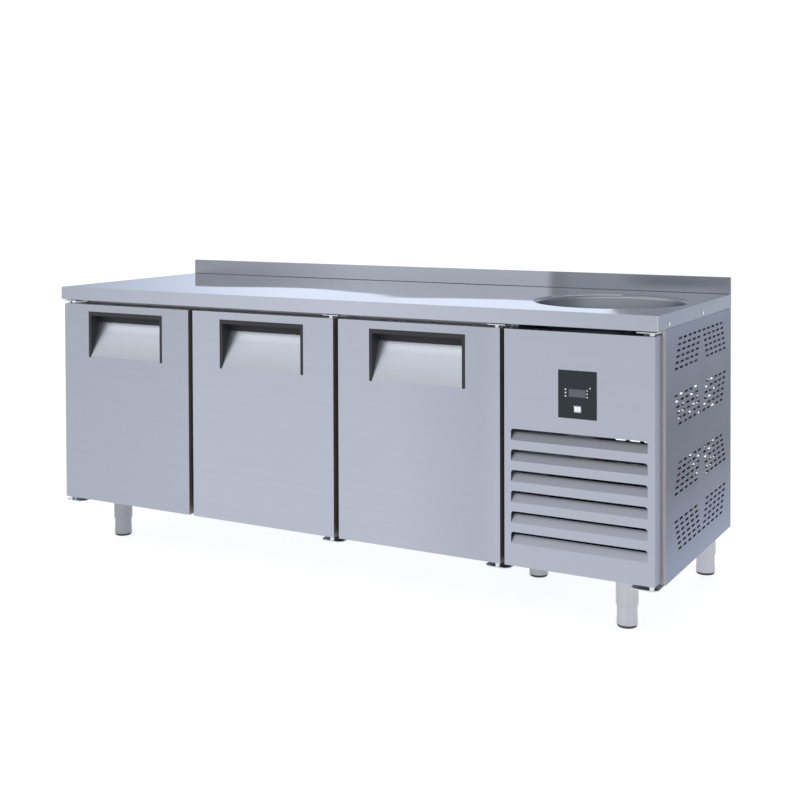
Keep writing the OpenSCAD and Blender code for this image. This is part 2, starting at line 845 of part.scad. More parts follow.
// Finned block with its fan cowl behind it.
module condenser_coil() {
  fins = 18;
  fin_t = 1.5;
  step = (condenser_w - fin_t) / (fins - 1);
  y1 = cond_y + condenser_t;
  color("#3a3d42") placed() {
    for (k = [0:fins - 1]) {
      block([cond_x + k * step, cond_y, cond_z], [cond_x + k * step + fin_t, y1, cond_z + condenser_h]);
    }
    for (z = cond_tube_z, y = cond_tube_y) bar([cond_x - 8, y, z], [cond_x + condenser_w + 8, y, z], 5);
    difference() {
      block([cond_x - 1, y1 - join, cond_z - 12], [cond_x + condenser_w + 1, cowl_y1, cond_z + condenser_h]);
      block([cond_x, y1 - 1, cond_z], [cond_x + condenser_w, cowl_y1 - 1.5, cond_z + condenser_h - 1]);
      bar([cond_fan_x, y1, cond_fan_z], [cond_fan_x, cowl_y1 + 1, cond_fan_z], condenser_fan_d / 2 + 4);
    }
  }
}

// Suction, liquid and discharge lines, with the filter drier on the liquid line.
module refrigerant_pipes() {
  xs = machine_x0 + 30;
  xl = machine_x0 + 46;
  x0 = coil_x + coil_t + 0.2;
  ys = suction_at[0];
  yl = liquid_at[0];
  zs = suction_at[1];
  shell_r = compressor_d / 2;
  off = 40;
  suction_end = sqrt(shell_r * shell_r - pow(off - pipe_r, 2)) + 0.2;
  suction_z = comp_z + 90;
  liquid_z = comp_z + 106;
  discharge_z = comp_z + 60;
  behind_fan = cowl_y1 + 74;
  side_x = cond_x + condenser_w + 22;
  tube_end = cond_x + condenser_w + 8.2;
  suction = [
    [x0, ys, zs], [xs, ys, zs], [xs, ys, suction_z],
    [xs, comp_y + off, suction_z], [comp_x - suction_end, comp_y + off, suction_z]
  ];
  liquid = [
    [x0, yl, zs], [xl, yl, zs], [xl, yl, liquid_z], [xl, behind_fan, liquid_z],
    [side_x, behind_fan, liquid_z], [side_x, cond_tube_y[1], liquid_z],
    [side_x, cond_tube_y[1], cond_tube_z[0]], [tube_end, cond_tube_y[1], cond_tube_z[0]]
  ];
  discharge = [
    [comp_x + off, comp_y - suction_end, discharge_z], [comp_x + off, behind_fan + 24, discharge_z],
    [side_x, behind_fan + 24, discharge_z], [side_x, behind_fan + 24, cond_tube_z[4]],
    [side_x, cond_tube_y[1], cond_tube_z[4]], [tube_end, cond_tube_y[1], cond_tube_z[4]]
  ];
  color("#b4693c") placed() {
    pipe(suction, pipe_r - 0.2);
    pipe(liquid, pipe_r - 0.2);
    pipe(discharge, pipe_r - 0.2);
    translate([xl, yl, liquid_z + 34]) cylinder(r = 13, h = 84);
  }
}

module control_box() {
  x0 = machine_x0;
  color("#5b6068") placed() difference() {
    block([x0, body_y + 60, edge_z - 330], [x0 + 72, body_y + 240, edge_z - 180]);
    block([x0 + 2, body_y + 62, edge_z - 328], [x0 + 70, body_y + 238, edge_z - 182]);
  }
}

gland_at = [width - 70, body_z + 60];
gland_r = 8;
cord_r = 4.5;

module cable_gland() {
  x = gland_at[0];
  z = gland_at[1];
  color("#25272a") placed() difference() {
    union() {
      bar([x, back_y - 22, z], [x, back_y + 2, z], gland_r);
      bar([x, back_y, z], [x, back_y + 3.4, z], gland_r + 4);
      bar([x, back_y - sheet - 5, z], [x, back_y - sheet, z], gland_r + 4);
    }
    bar([x, back_y - 23, z], [x, back_y + 5, z], cord_r);
  }
}

module rear_grille() {
  x0 = partition_x;
  x1 = width - sheet;
  cols = 7;
  rows = 12;
  color("#9097a3") placed() difference() {
    block([x0, back_y - sheet, body_z], [x1, back_y, edge_z]);
    upright(back_y - sheet - 1, sheet + 2) for (c = [0:cols - 1], r = [0:rows - 1]) {
      translate([(x0 + x1) / 2 + (c - (cols - 1) / 2) * 46, body_z + 150 + r * 26]) slot_2d(34, 8);
    }
    bar([gland_at[0], back_y - 3, gland_at[1]], [gland_at[0], back_y + 1, gland_at[1]], gland_r + 0.2);
    for (z = rear_screw_z, i = [2, 3]) {
      bar([rear_screw_x[i], back_y - 3, z], [rear_screw_x[i], back_y + 1, z], screw_r + 0.2);
    }
  }
}

// ---------- hinges ----------

// The lower bracket under the cabinet and its pin.
module lower_hinge(x) {
  x0 = min(max(x - bracket_w / 2 - 2, 4), width - 4 - bracket_w);
  x1 = x0 + bracket_w;
  y0 = door_setback + 4;
  y1 = body_y + 34;
  nose = 12;
  translate([0, 0, body_z - bracket_t]) linear_extrude(bracket_t) polygon([
    [x0, y1], [x0, y0 + nose], [x0 + nose, y0], [x1 - nose, y0], [x1, y0 + nose], [x1, y1]
  ]);
  translate([x, pin_y, body_z - join]) cylinder(r = sleeve_r, h = door_bottom_gap + join - seat);
  translate([x, pin_y, body_z]) cylinder(r = pin_r, h = door_bottom_gap + sleeve_h - 3);
}

// The upper bracket on the cabinet's front and its pin.
module upper_hinge(x) {
  w = 52;
  x0 = min(max(x - w / 2, 6), width - 6 - w);
  z1 = edge_z - 3;
  y0 = door_setback + 4;
  door_top = edge_z - door_top_gap;
  block([x0, y0, z1 - bracket_t], [x0 + w, body_y, z1]);
  block([x0, body_y - bracket_t, z1 - bracket_t - 12], [x0 + w, body_y, z1]);
  translate([x, pin_y, door_top + seat])
    cylinder(r = sleeve_r, h = z1 - bracket_t - door_top - seat + join);
  translate([x, pin_y, door_top - sleeve_h + 3]) cylinder(r = pin_r, h = sleeve_h);
}

module hinge_brackets() {
  color("#b9bdc4") placed() for (x = pin_x) {
    lower_hinge(x);
    upper_hinge(x);
  }
}

// A magnet block that holds the service door shut.
module service_magnet() {
  color("#2b2d31") placed()
    block([service_x + 3, door_setback + door_t + seat, door_z + door_h * 0.45],
          [service_x + 13, body_y, door_z + door_h * 0.55]);
}

// ---------- doors ----------

module door_place(i) {
  placed() translate([door_x[i], door_setback, door_z]) children();
}

// Bores for the hinge pins, at both ends of a panel of height h.
module pin_bores(px, h) {
  r = pin_r + pin_clearance;
  for (z = [-1, h - sleeve_h - 1]) translate([px, pin_inset, z]) cylinder(r = r, h = sleeve_h + 2);
}

module sleeves(px, h, r) {
  for (z = [0, h - sleeve_h]) translate([px, pin_inset, z]) cylinder(r = r, h = sleeve_h);
}

// Outline of the handle's cut-out: a wide window with a round tip at each lower corner.
module handle_window_2d() {
  for (x = [handle_x, handle_x + handle_w - handle_border]) strip_2d(x);
  translate([handle_x + tip_r, handle_z0]) square([handle_w - 2 * tip_r, handle_h]);
}

module strip_2d(x) {
  translate([x, handle_z0]) square([handle_border, handle_h]);
  translate([x + tip_r, handle_z0]) circle(r = tip_r);
}

hinge_side = [pin_inset, door_w - pin_inset, door_w - pin_inset];

module door_skin(i) {
  s = door_sheet;
  px = hinge_side[i];
  color(steel) door_place(i) difference() {
    union() {
      difference() {
        block([0, 0, 0], [door_w, door_t, door_h]);
        block([s, s, s], [door_w - s, door_t + 1, door_h - s]);
        upright(-1, s + 2) handle_window_2d();
      }
      pull_plate();
      sleeves(px, door_h, sleeve_r);
    }
    pin_bores(px, door_h);
  }
}

// The steel plate that slopes back into the handle.
module pull_plate() {
  t = door_sheet;
  x0 = handle_x + handle_border;
  along_x(x0, handle_w - 2 * handle_border) polygon([
    [0, handle_z0 - join], [0, handle_z0], [handle_depth, pull_z1],
    [handle_depth + t, pull_z1], [t, handle_z0 - t], [t, handle_z0 - join]
  ]);
}

module door_foam(i) {
  s = door_sheet;
  g = insert_t + 0.3;
  px = hinge_side[i];
  color("#d9c98f") door_place(i) difference() {
    block([s, s, s], [door_w - s, door_t - s, door_h - s]);
    along_x(handle_x - 0.3, handle_w + 0.6) polygon([
      [0, handle_z0 - tip_r - 1], [g, handle_z0 - tip_r - 1], [g, handle_z0 - 3],
      [handle_depth + g, pull_z1 - 3], [handle_depth + g, handle_z1 + 0.3], [0, handle_z1 + 0.3]
    ]);
    for (z = [-1, door_h - sleeve_h - 2]) {
      translate([px, pin_inset, z]) cylinder(r = sleeve_r + 0.3, h = sleeve_h + 3);
    }
  }
}

module door_inner_panel(i) {
  s = door_sheet;
  lift = 4;
  inset = gasket_inset + gasket_w + 6;
  color("#c4c8d0") door_place(i) {
    block([s, door_t - s, s], [door_w - s, door_t, door_h - s]);
    difference() {
      block([inset, door_t - join, inset], [door_w - inset, door_t + lift, door_h - inset]);
      block([inset + s, door_t - 1, inset + s], [door_w - inset - s, door_t + lift - s, door_h - inset - s]);
    }
  }
}

module door_gasket(i) {
  a = gasket_inset;
  b = gasket_inset + gasket_w;
  t = gasket_gap - seat;
  color("#3b3836") door_place(i) difference() {
    block([a, door_t, a], [door_w - a, door_t + t, door_h - a]);
    block([b, door_t - 1, b], [door_w - b, door_t + t + 1, door_h - b]);
  }
}

// The plastic insert: a flush U-shaped border, side walls, a back wall and a grip lip.
module door_handle(i) {
  w = insert_t;
  x0 = handle_x;
  x1 = handle_x + handle_w;
  inner = handle_border;
  color(black) door_place(i) {
    for (x = [x0, x1 - inner]) upright(0, w) strip_2d(x);
    for (x = [x0 + inner - w, x1 - inner]) along_x(x, w) polygon([
      [w - join, handle_z0], [handle_depth + w, pull_z1], [handle_depth + w, handle_z1], [w - join, handle_z1]
    ]);
    block([x0 + inner - w, 0, handle_z1 - w], [x1 - inner + w, handle_depth + w, handle_z1]);
    block([x0 + inner - join, 0, handle_z1 - lip_h], [x1 - inner + join, 4, handle_z1]);
    block([x0 + inner - w, handle_depth + door_sheet, pull_z1 - 2],
          [x1 - inner + w, handle_depth + w, handle_z1]);
  }
}

// ---------- service door ----------

service_pin = service_w - pin_inset;
plate_x = (service_w - plate_w) / 2;
plate_z = door_h - plate_drop - plate_h;
plate_lip = 4;
face_t = 1.2;

module service_place() {
  placed() translate([service_x, door_setback, door_z]) children();
}

// One louvre opening, with its upper corners rounded.
module louvre_window_2d(z) {
  r = 8;
  x0 = (service_w - louvre_w) / 2;
  translate([x0, z]) square([louvre_w, louvre_h - r]);
  translate([x0 + r, z]) square([louvre_w - 2 * r, louvre_h]);
  for (x = [x0 + r, x0 + louvre_w - r]) translate([x, z + louvre_h - r]) circle(r = r);
}

louvre_z = [for (k = [0:louvre_count - 1]) louvre_bottom + k * louvre_pitch];

module service_door() {
  s = door_sheet;
  lip = 18;
  x0 = (service_w - louvre_w) / 2;
  color(steel) service_place() difference() {
    union() {
      difference() {
        block([0, 0, 0], [service_w, door_t, door_h]);
        block([s, s, s], [service_w - s, door_t - s, door_h - s]);
        block([lip, door_t - s - 1, lip], [service_w - lip, door_t + 1, door_h - lip]);
        upright(-1, s + 2) for (z = louvre_z) louvre_window_2d(z);
        block([plate_x + plate_lip, -1, plate_z + plate_lip],
              [plate_x + plate_w - plate_lip, s + 1, plate_z + plate_h - plate_lip]);
      }
      for (z = louvre_z) along_x(x0, louvre_w) polygon([
        [0, z - join], [0, z], [louvre_depth, z + louvre_h * 0.72],
        [louvre_depth + s, z + louvre_h * 0.72], [s, z - s], [s, z - join]
      ]);
      sleeves(service_pin, door_h, sleeve_r);
    }
    pin_bores(service_pin, door_h);
  }
}

// ---------- controls ----------

display_at = [plate_x + (plate_w - display_w) / 2, plate_z + plate_h * 0.45];
key_x = plate_x + 20.5;
key_z = display_at[1] + display_h / 2;
key_hole_r = key_d / 2 + 0.15;
rocker_at = [plate_x + plate_w / 2, plate_z + 25];
rocker_gap = 0.4;
rocker_pin_r = 1.5;
rocker_pivot_y = 5;
window_t = 1.5;

module control_plate() {
  x1 = plate_x + plate_w;
  z1 = plate_z + plate_h;
  lip = plate_lip + 0.2;
  back = 30;
  rw = rocker_w / 2 + rocker_gap;
  rh = rocker_h / 2 + 1.6;
  color("#2c3036") service_place() difference() {
    union() {
      block([plate_x, -face_t, plate_z], [x1, 0, z1]);
      block([plate_x + lip, -join, plate_z + lip], [x1 - lip, back, z1 - lip]);
    }
    block([plate_x + lip + 2, face_t, plate_z + lip + 44], [x1 - lip - 2, back - 2, z1 - lip - 2]);
    block([display_at[0], -face_t - 1, display_at[1]],
          [display_at[0] + display_w, face_t + 1, display_at[1] + display_h]);
    for (k = [-1:1]) {
      bar([key_x, -face_t - 1, key_z + k * key_pitch], [key_x, face_t + 1, key_z + k * key_pitch], key_hole_r);
    }
    block([rocker_at[0] - rw, -face_t - 1, rocker_at[1] - rh], [rocker_at[0] + rw, 16, rocker_at[1] + rh]);
    bar([rocker_at[0] - rw - 4, rocker_pivot_y, rocker_at[1]],
        [rocker_at[0] + rw + 4, rocker_pivot_y, rocker_at[1]], rocker_pin_r + 0.05);
  }
}

// The clear window and the small lamps beside it.
module display_window() {
  lamp_x = plate_x + plate_w - 25.5;
  gap = 0.1;
  color("#6d7078") service_place() {
    block([display_at[0] + gap, -face_t + 0.3, display_at[1] + gap],
          [display_at[0] + display_w - gap, -face_t + 0.3 + window_t, display_at[1] + display_h - gap]);
    for (k = [-1:1]) {
      bar([lamp_x, -face_t - 0.3, key_z + k * key_pitch], [lamp_x, -face_t, key_z + k * key_pitch], 1.8);
    }
    bar([lamp_x + 7.6, -face_t - 0.3, key_z + 15], [lamp_x + 7.6, -face_t, key_z + 15], 1.8);
  }
}

module rocker_switch() {
  rise = 1.6;
  front = rocker_pivot_y + 0.8;
  half = rocker_h / 2;
  tilt = 6;
  color("#e8ebf0") service_place() translate([rocker_at[0], rocker_pivot_y, rocker_at[1]]) {
    rotate([tilt, 0, 0]) along_x(-rocker_w / 2, rocker_w) polygon([
      [-front, half], [rise - front, 0], [-front, -half],
      [2, -half], [6, -3], [6, 3], [2, half]
    ]);
    bar([-rocker_w / 2 - 3, 0, 0], [rocker_w / 2 + 3, 0, 0], rocker_pin_r);
  }
}

module key(k) {
  z = key_z + k * key_pitch;
  stem = 3;
  color("#c9ccd2") service_place() {
    bar([key_x, -face_t - 0.5, z], [key_x, face_t + stem, z], key_d / 2);
    bar([key_x, face_t + 0.3, z], [key_x, face_t + stem, z], key_d / 2 + 1);
  }
}

// ---------- feet ----------

foot_r = foot_d / 2;
tube_r = foot_tube_d / 2;
tube_h = leg_h - 30;

module foot_sockets() {
  inner_r = tube_r + foot_clearance;
  taper = 8;
  color("#a7acb5") placed() for (p = foot_at) translate([p[0], p[1], 0]) {
    translate([-foot_plate / 2, -foot_plate / 2, body_z - 3]) cube([foot_plate, foot_plate, 3]);
    rotate_extrude() polygon([
      [inner_r, foot_show], [inner_r + 0.6, foot_show], [foot_r, foot_show + taper],
      [foot_r, body_z - 3 + join], [inner_r, body_z - 3 + join]
    ]);
  }
}

// The lower tube, closed at its foot, and the rubber pad under it.
module foot(i) {
  flare = 1;
  wall = 2.5;
  color("#b3b8c1") placed() translate([foot_at[i][0], foot_at[i][1], 0]) {
    rotate_extrude() polygon([
      [0, pad_t], [tube_r + flare, pad_t], [tube_r + flare, pad_t + 10], [tube_r, pad_t + 24],
      [tube_r, tube_h], [tube_r - wall, tube_h], [tube_r - wall, pad_t + 4], [0, pad_t + 4]
    ]);
    cylinder(r1 = tube_r - 2, r2 = tube_r + flare, h = pad_t - 0.1);
  }
}

worktop();
worktop_stiffeners();
sink_bowl();
sink_waste();
screws();
left_panel();
rear_panel();
top_bottom_panels();
right_panel();
partition_panel();
front_frame();
insulation();
liner();
mullions();
shelf_ladders();
wire_shelves();
evaporator_coil();
evaporator_cover();
condensate_trays();
drain_pipe();
machine_base();
compressor();
condenser_coil();
fan_motors();
refrigerant_pipes();
control_box();
cable_gland();
rear_grille();
hinge_brackets();
foot_sockets();
service_magnet();
evaporator_fan();
condenser_fan();
foot(0);  // foot_front_left
foot(1);  // foot_front_right
foot(2);  // foot_rear_left
foot(3);  // foot_rear_right
foot(4);  // foot_middle
door_skin(0);  // door_1_skin
door_foam(0);  // door_1_foam
door_inner_panel(0);  // door_1_inner_panel
door_gasket(0);  // door_1_gasket
door_handle(0);  // door_1_handle
door_skin(1);  // door_2_skin
door_foam(1);  // door_2_foam
door_inner_panel(1);  // door_2_inner_panel
door_gasket(1);  // door_2_gasket
door_handle(1);  // door_2_handle
door_skin(2);  // door_3_skin
door_foam(2);  // door_3_foam
door_inner_panel(2);  // door_3_inner_panel
door_gasket(2);  // door_3_gasket
door_handle(2);  // door_3_handle
service_door();
control_plate();
display_window();
rocker_switch();
key(1);  // key_up
key(0);  // key_set
key(-1);  // key_down
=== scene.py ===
import json
import math

import bmesh
import bpy
from mathutils import Matrix, Vector


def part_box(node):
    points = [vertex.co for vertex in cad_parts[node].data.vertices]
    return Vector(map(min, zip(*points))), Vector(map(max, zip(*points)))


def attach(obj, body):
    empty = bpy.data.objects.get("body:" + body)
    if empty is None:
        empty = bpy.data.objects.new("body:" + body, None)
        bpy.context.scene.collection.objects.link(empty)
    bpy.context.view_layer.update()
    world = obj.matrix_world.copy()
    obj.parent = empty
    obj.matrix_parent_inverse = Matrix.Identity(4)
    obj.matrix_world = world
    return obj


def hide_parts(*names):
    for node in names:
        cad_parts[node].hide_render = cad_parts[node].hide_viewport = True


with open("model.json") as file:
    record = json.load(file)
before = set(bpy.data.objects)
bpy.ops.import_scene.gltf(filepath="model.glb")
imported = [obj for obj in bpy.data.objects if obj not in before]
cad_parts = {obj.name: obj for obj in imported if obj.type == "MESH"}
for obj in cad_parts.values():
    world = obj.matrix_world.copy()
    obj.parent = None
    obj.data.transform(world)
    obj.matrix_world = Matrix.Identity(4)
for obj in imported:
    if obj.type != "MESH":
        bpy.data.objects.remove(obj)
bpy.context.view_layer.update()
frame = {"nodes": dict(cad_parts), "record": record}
nodes = frame["nodes"]
record = frame["record"]
bodyOf = {name: body for body, members in record["behaviour"]["bodies"].items() for name in members}
slotOf = {part["node"]: part["material_slot"] for part in record["subparts"]}
mountAt = {mount["name"]: Vector(mount["pos_m"]) for mount in record["mounts"]}
doorNumbers = (1, 2, 3)
print("frame loaded:", len(nodes), "nodes")


class Val:  # a shader socket that takes part in sums
    def __init__(self, tree, socket):
        self.tree, self.socket = tree, socket

    def __add__(self, other):
        return self.tree.math("ADD", self, other)

    def __radd__(self, other):
        return self.tree.math("ADD", other, self)

    def __sub__(self, other):
        return self.tree.math("SUBTRACT", self, other)

    def __rsub__(self, other):
        return self.tree.math("SUBTRACT", other, self)

    def __mul__(self, other):
        return self.tree.math("MULTIPLY", self, other)

    def __rmul__(self, other):
        return self.tree.math("MULTIPLY", other, self)

    def above(self, edge, soft):  # 0 below the edge, 1 above it
        return self.tree.node("ShaderNodeMapRange", {"interpolation_type": "SMOOTHSTEP"},
                              {0: self, 1: edge - soft, 2: edge + soft, 3: 0.0, 4: 1.0})


class Tree:  # a node tree under construction
    def __init__(self, tree):
        self.tree = tree

    def math(self, operation, first, second=0.0):
        return self.node("ShaderNodeMath", {"operation": operation}, {0: first, 1: second})

    def node(self, kind, settings=None, values=None, out=0):
        made = self.tree.nodes.new(kind)
        for key, value in (settings or {}).items():
            if key == "stops":
                ramp = made.color_ramp
                while len(ramp.elements) < len(value):
                    ramp.elements.new(0.5)
                for element, (place, colour) in zip(ramp.elements, value):
                    element.position, element.color = place, (*colour, 1)
            else:
                setattr(made, key, value)
        for key, value in (values or {}).items():
            if isinstance(value, Val):
                self.tree.links.new(value.socket, made.inputs[key])
            else:
                made.inputs[key].default_value = value
        return Val(self, made.outputs[out])

    def at(self, scale=(1, 1, 1), place=(0, 0, 0)):  # object coordinates
        spot = self.node("ShaderNodeTexCoord", out=3)
        return self.node("ShaderNodeMapping", {"vector_type": "POINT"},
                         {"Vector": spot, "Location": place, "Scale": scale})

    def noise(self, where, scale=1.0, detail=2.0):
        return self.node("ShaderNodeTexNoise", {},
                         {"Vector": where, "Scale": scale, "Detail": detail})

    def axes(self, vector):
        made = self.node("ShaderNodeSeparateXYZ", {}, {0: vector}).socket.node
        return [Val(self, socket) for socket in made.outputs]

    def mix(self, first, second, share):
        def colour(value):
            return value if isinstance(value, Val) else (*value, 1)
        return self.node("ShaderNodeMix", {"data_type": "RGBA"},
                         {0: share, 6: colour(first), 7: colour(second)}, out=2)

    def bump(self, height, strength, distance):
        return self.node("ShaderNodeBump", {},
                         {"Height": height, "Strength": strength, "Distance": distance})


class Look(Tree):  # a material with one principled shader
    def __init__(self, name, **fixed):
        self.material = bpy.data.materials.new(name)
        self.material.use_nodes = True
        super().__init__(self.material.node_tree)
        self.shader = self.tree.nodes["Principled BSDF"]
        for key, value in fixed.items():
            self.set(key.replace("_", " "), value)

    def set(self, name, value):
        socket = self.shader.inputs[name]
        if isinstance(value, Val):
            self.tree.links.new(value.socket, socket)
        else:
            socket.default_value = value


def shade(tone, factor):
    return tuple(channel * factor for channel in tone)


grainScale = {"x": (3, 900, 900), "y": (900, 3, 900), "z": (900, 900, 3)}
streakScale = {"x": (0.7, 60, 60), "y": (60, 0.7, 60), "z": (60, 60, 0.7)}


steelSet = {"contrast": 0.14, "grainShare": 0.16, "cloudShare": 0.03, "roughGrain": 0.12,
            "roughSmudge": 0.06, "grainDepth": 0.00004}


def steel(name, tone, grain="x", rough=0.3, grainAndPaintedStripes=1.0, wave=0.0, paintedLight=None):
    look = Look(name, Metallic=1.0)
    fine = look.noise(look.at(grainScale[grain]), 1.0, 3.0)
    streak = look.noise(look.at(streakScale[grain]), 1.0, 3.0)
    broad = look.noise(look.at(), 2.6, 2.0)
    share = steelSet["grainShare"] * grainAndPaintedStripes
    spread = (fine - 0.5) * share + (streak - 0.5) * share + (broad - 0.5) * steelSet["cloudShare"]
    colour = look.mix(shade(tone, 1 - steelSet["contrast"]), shade(tone, 1 + steelSet["contrast"]),
                      spread + 0.5)
    if paintedLight:  # painted reflections, light and shade: the tone changes slowly along one axis, given as an axis number and (metres, share) pairs
        place = look.axes(look.at())[paintedLight[0]]
        stops = [((metres + 1) / 2, (share, share, share)) for metres, share in paintedLight[1]]
        slow = look.node("ShaderNodeValToRGB", {"stops": stops}, {0: place * 0.5 + 0.5})
        colour = look.node("ShaderNodeMix", {"data_type": "RGBA", "blend_type": "MULTIPLY"},
                           {0: 1.0, 6: colour, 7: slow}, out=2)
    look.set("Base Color", colour)
    smudge = look.noise(look.at(), 9.0, 3.0)
    look.set("Roughness", (fine - 0.5) * (steelSet["roughGrain"] * grainAndPaintedStripes)
             + (smudge - 0.5) * steelSet["roughSmudge"] + rough)
    normal = look.bump(fine * grainAndPaintedStripes, 0.25, steelSet["grainDepth"])
    if wave:  # a rolled sheet is never quite flat
        slow = look.noise(look.at(), 1.7, 0.0)
        normal = look.node("ShaderNodeBump", {},
                           {"Height": slow, "Strength": 1.0, "Distance": wave, "Normal": normal})
    look.set("Normal", normal)
    return look.material


def turnedSteel(name, tone, centre, rough=0.3):  # grain that runs round an upright axis
    look = Look(name, Metallic=1.0)
    flat = look.at(place=(-centre.x, -centre.y, 0))
    x, y, z = look.axes(flat)
    level = look.node("ShaderNodeCombineXYZ", {}, {0: x, 1: y})
    radius = look.node("ShaderNodeVectorMath", {"operation": "LENGTH"}, {0: level}, out=1)
    rings = look.node("ShaderNodeCombineXYZ", {}, {0: radius * 700, 1: z * 700})
    fine = look.noise(rings, 1.0, 3.0)
    wide = look.noise(look.node("ShaderNodeCombineXYZ", {}, {0: radius * 70, 1: z * 70}), 1.0, 3.0)
    spread = (fine - 0.5) * 0.3 + (wide - 0.5) * 0.3
    look.set("Base Color", look.mix(shade(tone, 0.84), shade(tone, 1.16), spread + 0.5))
    look.set("Roughness", (fine - 0.5) * 0.12 + rough)
    look.set("Normal", look.bump(fine, 0.3, steelSet["grainDepth"]))
    return look.material


def galvanised(name, tone):
    look = Look(name, Metallic=1.0)
    flakes = look.node("ShaderNodeTexVoronoi", {}, {"Vector": look.at(), "Scale": 70.0}, out=1)
    grey = look.node("ShaderNodeRGBToBW", {}, {0: flakes})
    dust = look.noise(look.at(), 22.0, 4.0)
    look.set("Base Color", look.mix(shade(tone, 0.8), shade(tone, 1.12), grey * 0.6 + dust * 0.4))
    look.set("Roughness", grey * 0.14 + dust * 0.1 + 0.34)
    look.set("Normal", look.bump(dust, 0.15, 0.0002))
    return look.material


def plastic(name, tone, rough=0.45, grain=0.3, coat=0.0, shine=0.5):
    look = Look(name, Coat_Weight=coat, Coat_Roughness=0.12, Specular_IOR_Level=shine)
    pores = look.noise(look.at(), 1100.0, 3.0)
    worn = look.noise(look.at(), 14.0, 3.0)
    look.set("Base Color", look.mix(shade(tone, 0.85), shade(tone, 1.2), worn))
    look.set("Roughness", (worn - 0.5) * 0.14 + (pores - 0.5) * 0.1 + rough)
    look.set("Normal", look.bump(pores, grain, 0.0001))
    return look.material


def rubber(name, tone):
    look = Look(name, Sheen_Weight=0.15)
    dust = look.noise(look.at(), 30.0, 4.0)
    pores = look.noise(look.at(), 700.0, 2.0)
    look.set("Base Color", look.mix(tone, shade(tone, 1.7), dust))
    look.set("Roughness", dust * 0.2 + 0.6)
    look.set("Normal", look.bump(pores, 0.3, 0.0002))
    return look.material


def foam(name, tone):
    look = Look(name)
    cells = look.node("ShaderNodeTexVoronoi", {}, {"Vector": look.at(), "Scale": 420.0})
    patch = look.noise(look.at(), 16.0, 4.0)
    look.set("Base Color", look.mix(shade(tone, 0.78), tone, cells * 0.5 + patch * 0.5))
    look.set("Roughness", patch * 0.1 + 0.85)
    look.set("Normal", look.bump(cells, 0.6, 0.0008))
    return look.material


def enamel(name, tone, rough=0.3):
    look = Look(name, Coat_Weight=0.4, Coat_Roughness=0.15)
    peel = look.noise(look.at(), 260.0, 2.0)
    dust = look.noise(look.at(), 12.0, 4.0)
    look.set("Base Color", look.mix(tone, shade(tone, 1.9), dust * dust))
    look.set("Roughness", dust * 0.2 + rough)
    look.set("Normal", look.bump(peel, 0.25, 0.0003))
    return look.material


def copper(name, tone):
    look = Look(name, Metallic=1.0)
    tarnish = look.noise(look.at(), 24.0, 4.0)
    look.set("Base Color", look.mix(tone, shade(tone, 0.55), tarnish))
    look.set("Roughness", tarnish * 0.3 + 0.18)
    look.set("Normal", look.bump(look.noise(look.at(), 300.0), 0.2, 0.0002))
    return look.material


def litRocker(name, tone, strength, low, high):  # a pale key with two bright lobes in a grey border
    look = Look(name, Emission_Strength=strength)
    middle, half = (low + high) / 2, (high - low) / 2
    x, y, z = look.axes(look.at(place=(-middle.x, 0, -middle.z)))
    aside, away = look.math("ABSOLUTE", x), look.math("ABSOLUTE", z)
    lobes = (1 - aside.above(half.x * 0.62, 0.0012)) * (1 - away.above(half.z * 0.66, 0.002))
    lobes = lobes * (aside.above(0.0009, 0.0008) * 0.3 + 0.7)
    look.set("Base Color", look.mix(shade(tone, 0.2), tone, lobes))
    look.set("Emission Color", look.mix(shade(tone, 0.12), tone, lobes))
    look.set("Roughness", lobes * 0.1 + 0.35)
    return look.material


